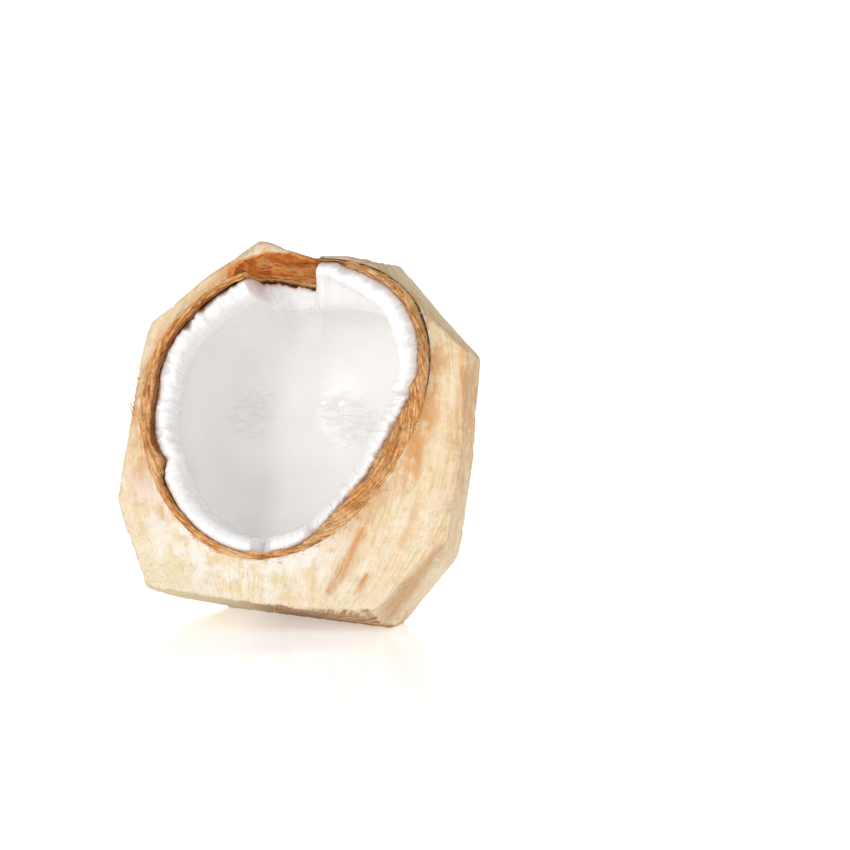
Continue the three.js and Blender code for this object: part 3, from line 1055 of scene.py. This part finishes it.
def brokenShellMaterial():
    # Young coconut shell, broken by hand: dry tan wood fibre with darker cracks round the ring
    material = newMaterial("broken young coconut shell")
    tree = material.node_tree
    fields = patternFields(
        tree,
        {"rings": (9, 0.7, 4, 0.65), "lines": (16, 1.1, 2, 0.5)},
        {"specks": (2.2, 4, 0.7), "clouds": (11, 2, 0.5)})
    specks = addNode(tree, "ShaderNodeMath", {"operation": "MULTIPLY"}, {
        0: fields["specks"], 1: 0.4}).outputs[0]
    both = addNode(tree, "ShaderNodeMath", {"operation": "MULTIPLY_ADD"}, {
        0: fields["rings"], 1: 0.6, 2: specks}).outputs[0]
    wood = setStops(addNode(tree, "ShaderNodeValToRGB", None, {"Fac": both}), [
        (0.36, "#9c5a24"), (0.45, "#c98543"), (0.53, "#dfa96c"), (0.64, "#eec893")])
    pale = addNode(tree, "ShaderNodeMapRange", None, {
        "Value": fields["clouds"], "From Min": 0.45, "From Max": 0.7, "To Max": 0.5}).outputs["Result"]
    colour = addNode(tree, "ShaderNodeMix", {"data_type": "RGBA"}, {
        0: pale, 6: wood, 7: linear("#edcb9a")}).outputs[2]
    # painted shade: dark brown laid over the rim's dips and over its inner edge on the left
    paintedShade = addNode(tree, "ShaderNodeAttribute", {"attribute_name": "paintedShade"}).outputs["Fac"]
    colour = addNode(tree, "ShaderNodeMix", {"data_type": "RGBA"}, {
        0: paintedShade, 6: colour, 7: linear("#7d4517")}).outputs[2]
    split = setStops(addNode(tree, "ShaderNodeValToRGB", None, {"Fac": fields["lines"]}), [
        (0.44, "#000000"), (0.475, "#d0d0d0"), (0.5, "#d0d0d0"), (0.53, "#000000")])
    colour = addNode(tree, "ShaderNodeMix", {"data_type": "RGBA"}, {
        0: split, 6: colour, 7: linear("#8a4717")}).outputs[2]
    outside = addNode(tree, "ShaderNodeAttribute", {"attribute_name": "outside"}).outputs["Fac"]
    pith = setStops(addNode(tree, "ShaderNodeValToRGB", None, {"Fac": both}), [
        (0.38, "#b9925c"), (0.47, "#d6bd90"), (0.58, "#e8d9b8")])
    colour = addNode(tree, "ShaderNodeMix", {"data_type": "RGBA"}, {
        0: outside, 6: colour, 7: pith}).outputs[2]
    bump = addNode(tree, "ShaderNodeBump", None, {
        "Height": both, "Strength": 0.7, "Distance": 0.7 * mm})
    shader = addNode(tree, "ShaderNodeBsdfPrincipled", None, {
        "Base Color": colour, "Roughness": 0.72, "Specular IOR Level": 0.3,
        "Normal": bump.outputs["Normal"]})
    addNode(tree, "ShaderNodeOutputMaterial", None, {"Surface": shader.outputs["BSDF"]})
    return material


def wetFleshMaterial():
    # Young coconut flesh: dense white jelly, wet inside with soft highlights, duller where it broke
    material = newMaterial("wet white coconut flesh")
    tree = material.node_tree
    own = addNode(tree, "ShaderNodeTexCoord").outputs["Object"]
    rim = addNode(tree, "ShaderNodeAttribute", {"attribute_name": "rim"}).outputs["Fac"]
    fields = patternFields(
        tree,
        {"grooves": (1.3, 9, 3, 0.55)},
        {"clouds": (16, 3, 0.5), "grain": (1.4, 3, 0.6)})
    inside = setStops(addNode(tree, "ShaderNodeValToRGB", None, {"Fac": fields["clouds"]}), [
        (0.3, "#edeae7"), (0.7, "#f2f0ee")])
    broken = setStops(addNode(tree, "ShaderNodeValToRGB", None, {"Fac": fields["grain"]}), [
        (0.3, "#e9e8e7"), (0.5, "#f1f0f0"), (0.75, "#f6f6f7")])
    colour = addNode(tree, "ShaderNodeMix", {"data_type": "RGBA"}, {
        0: rim, 6: inside, 7: broken}).outputs[2]
    rough = addNode(tree, "ShaderNodeMapRange", None, {
        "Value": rim, "To Min": 0.12, "To Max": 0.45}).outputs["Result"]
    spread = addNode(tree, "ShaderNodeMapping", None, {
        "Vector": own, "Scale": (1 / (4.5 * mm), 1 / (4.5 * mm), 1 / (2.2 * mm))}).outputs["Vector"]
    ripples = addNode(tree, "ShaderNodeTexNoise", None, {
        "Vector": spread, "Scale": 1.0, "Detail": 4.0, "Roughness": 0.6, "Distortion": 0.8}).outputs["Fac"]
    wet = addNode(tree, "ShaderNodeAttribute", {"attribute_name": "wet"}).outputs["Fac"]
    gain = addNode(tree, "ShaderNodeMath", {"operation": "MULTIPLY_ADD"}, {0: wet, 1: 2.6, 2: 0.2}).outputs[0]
    level = addNode(tree, "ShaderNodeMath", {"operation": "SUBTRACT"}, {0: ripples, 1: 0.5}).outputs[0]
    waves = addNode(tree, "ShaderNodeMath", {"operation": "MULTIPLY"}, {0: level, 1: gain}).outputs[0]
    combs = addNode(tree, "ShaderNodeMath", {"operation": "SUBTRACT"}, {
        0: fields["grooves"], 1: 0.5}).outputs[0]
    height = addNode(tree, "ShaderNodeMix", {"data_type": "FLOAT"}, {
        0: rim, 2: waves, 3: combs}).outputs[0]
    bump = addNode(tree, "ShaderNodeBump", None, {
        "Height": height, "Strength": 0.7, "Distance": 1.0 * mm})
    shader = addNode(tree, "ShaderNodeBsdfPrincipled", None, {
        "Base Color": colour, "Roughness": rough, "Specular IOR Level": 0.5,
        "Subsurface Weight": 0.22, "Subsurface Radius": (2.6 * mm, 2.2 * mm, 1.9 * mm),
        "Subsurface Scale": 1.0, "Normal": bump.outputs["Normal"]})
    addNode(tree, "ShaderNodeOutputMaterial", None, {"Surface": shader.outputs["BSDF"]})
    return material


def looseFibreMaterial():
    # Dry husk fibre: thin tan hairs with a faint shine along their length
    material = newMaterial("dry coconut fibre")
    tree = material.node_tree
    own = addNode(tree, "ShaderNodeTexCoord").outputs["Object"]
    patches = addNode(tree, "ShaderNodeTexNoise", None, {
        "Vector": own, "Scale": 1 / (5 * mm), "Detail": 2.0}).outputs["Fac"]
    colour = setStops(addNode(tree, "ShaderNodeValToRGB", None, {"Fac": patches}), [
        (0.35, "#c48d52"), (0.5, "#dcae72"), (0.65, "#ead0a0")])
    shader = addNode(tree, "ShaderNodeBsdfPrincipled", None, {
        "Base Color": colour, "Roughness": 0.6, "Specular IOR Level": 0.35})
    addNode(tree, "ShaderNodeOutputMaterial", None, {"Surface": shader.outputs["BSDF"]})
    return material


studio = {
    "floorSize": 12,
    "floorGlow": 0.36,
    "fill": 0.55,
    "backdrop": 1.06,
    "lamps": {
        "left": {"watts": 8.5, "place": (-1.3, -1.4, 0.5), "size": 0.9},
        "right": {"watts": 5.5, "place": (1.2, -1.4, 0.7), "size": 1.6},
        "smallLeft": {"watts": 2.4, "place": (-0.74, -0.87, 0.37), "size": 0.12},
        "smallRight": {"watts": 0.7, "place": (0.62, -0.99, 0.13), "size": 0.14},
        "behind": {"watts": 12, "place": (-0.3, 1.7, 1.1), "size": 1.6},
    },
}


def floorMaterial():
    # White glossy board: close to pure white with a weak soft reflection
    material = newMaterial("white glossy board")
    tree = material.node_tree
    shader = addNode(tree, "ShaderNodeBsdfPrincipled", None, {
        "Base Color": linear("#f8f8f8"), "Roughness": 0.14, "Specular IOR Level": 0.3,
        "Emission Color": linear("#ffffff"), "Emission Strength": studio["floorGlow"]})
    addNode(tree, "ShaderNodeOutputMaterial", None, {"Surface": shader.outputs["BSDF"]})
    return material


def makeStudio():
    half = studio["floorSize"] / 2
    corners = np.array([(-half, -half, 0), (half, -half, 0), (half, half, 0), (-half, half, 0)])
    floor = newObject("floor", newMesh("floor", corners, [(0, 1, 2, 3)]))
    floor.data.materials.append(floorMaterial())
    world = bpy.data.worlds.new("white studio")
    bpy.context.scene.world = world
    world.use_nodes = True
    tree = world.node_tree
    tree.nodes.clear()
    path = addNode(tree, "ShaderNodeLightPath").outputs
    seen = addNode(tree, "ShaderNodeMath", {"operation": "MAXIMUM"}, {
        0: path["Is Camera Ray"], 1: path["Is Glossy Ray"]}).outputs[0]
    level = addNode(tree, "ShaderNodeMapRange", None, {
        "Value": seen, "To Min": studio["fill"], "To Max": studio["backdrop"]}).outputs["Result"]
    sky = addNode(tree, "ShaderNodeBackground", None, {"Color": (1, 1, 1, 1), "Strength": level})
    addNode(tree, "ShaderNodeOutputWorld", None, {"Surface": sky.outputs["Background"]})
    for name, values in studio["lamps"].items():
        lamp = bpy.data.lights.new(name, "AREA")
        lamp.energy = values["watts"]
        lamp.size = values["size"]
        item = bpy.data.objects.new(name, lamp)
        item.location = values["place"]
        aim = Vector((0, 0, 0.06)) - item.location
        item.rotation_euler = aim.to_track_quat("-Z", "Y").to_euler()
        bpy.context.scene.collection.objects.link(item)
    bpy.context.scene.view_settings.view_transform = "Standard"


view = {"place": (0.0372, -1.4268, 0.2130), "tilt": 84, "lens": 182.03, "sensor": 36}


def makeCamera():
    camera = bpy.data.cameras.new("camera")
    camera.sensor_width = view["sensor"]
    camera.lens = view["lens"]
    item = bpy.data.objects.new("camera", camera)
    item.location = view["place"]
    item.rotation_euler = (math.radians(view["tilt"]), 0, 0)
    bpy.context.scene.collection.objects.link(item)
    bpy.context.scene.camera = item


makeCamera()
makeStudio()
print("studio ready")
huskPiece = makeHusk(paredHuskMaterial())
print("husk ready,", len(huskPiece.data.polygons), "faces")
shellPiece = makeShell(brokenShellMaterial())
print("shell ready,", len(shellPiece.data.polygons), "faces")
fleshPiece = makeFlesh(wetFleshMaterial())
print("flesh ready,", len(fleshPiece.data.polygons), "faces")
fibrePiece = makeFibres(looseFibreMaterial())
print("fibres ready,", len(fibrePiece.data.polygons), "faces")

for piece, node in ((huskPiece, "husk"), (shellPiece, "shell"), (fleshPiece, "flesh")):
    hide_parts(node)
    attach(piece, "root")
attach(fibrePiece, "root")
